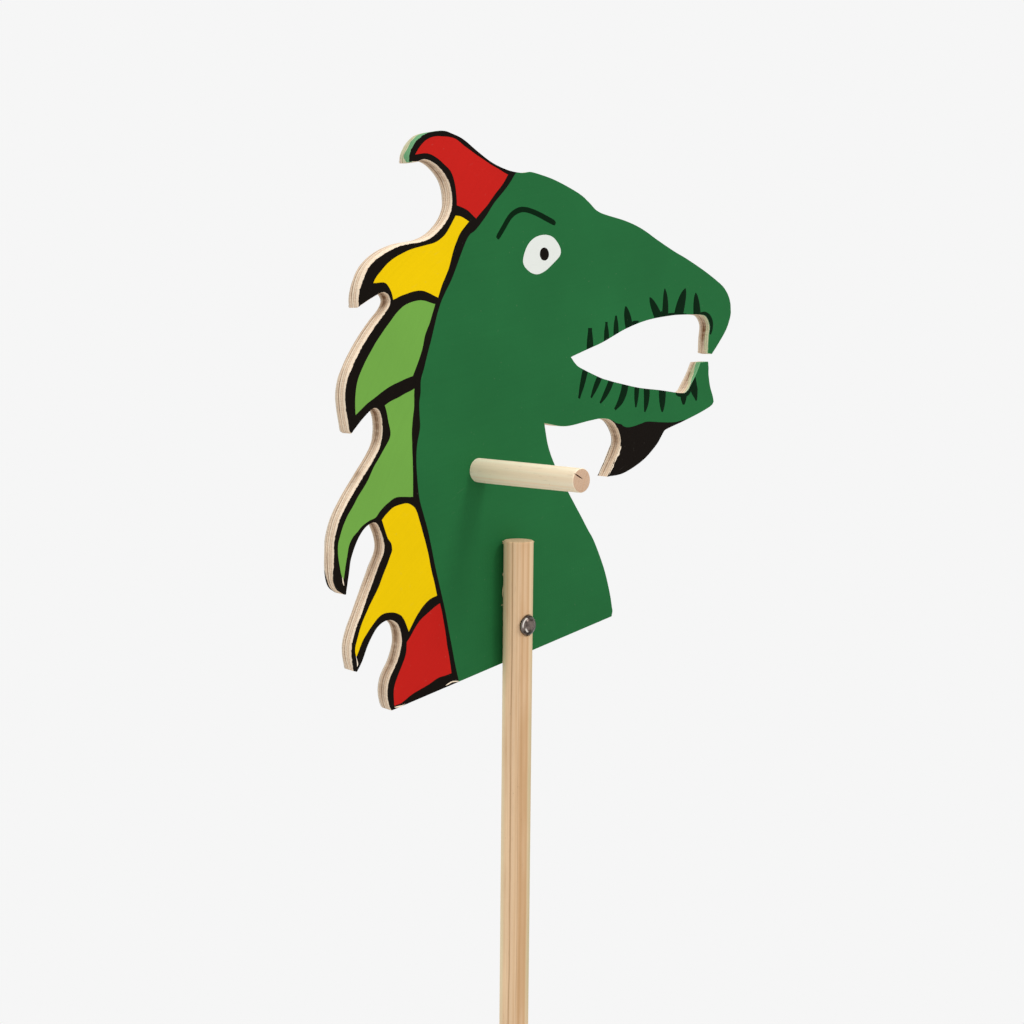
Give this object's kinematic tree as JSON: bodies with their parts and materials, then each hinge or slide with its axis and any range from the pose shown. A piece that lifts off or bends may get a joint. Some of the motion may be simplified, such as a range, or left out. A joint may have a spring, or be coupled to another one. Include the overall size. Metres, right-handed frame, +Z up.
{
  "type": "stick puppet",
  "caption": "Flat dragon head sawn from plywood, with a through handle, bolted to a round stick so that it can be tilted.",
  "frame": {"origin": "centre of the stick's lower end", "axes": "+Z up along the stick, +X towards the dragon's snout, -Y out of the side that shows the bolt's domed head"},
  "size_m": [0.4651, 0.2487, 1.1263],
  "materials": {
    "painted_plywood": "brush-painted birch plywood with bare sawn edges",
    "handle_wood": "bare sanded beech dowel",
    "stick_wood": "bare sanded pine",
    "zinc_steel": "bright zinc plate",
    "nylon": "natural nylon"
  },
  "bodies": {
    "stick": {"stick": "stick_wood", "bolt": "zinc_steel", "washer": "zinc_steel", "lock_nut": "zinc_steel", "nut_ring": "nylon"},
    "head": {"head_board": "painted_plywood", "handle": "handle_wood"}
  },
  "joints": [
    {"name": "head_tilt", "type": "hinge", "parent": "stick", "child": "head", "pos_m": [0, 0.01915, 0.73], "axis": [0, 1, 0], "range_deg": [-155, 180]}
  ]
}
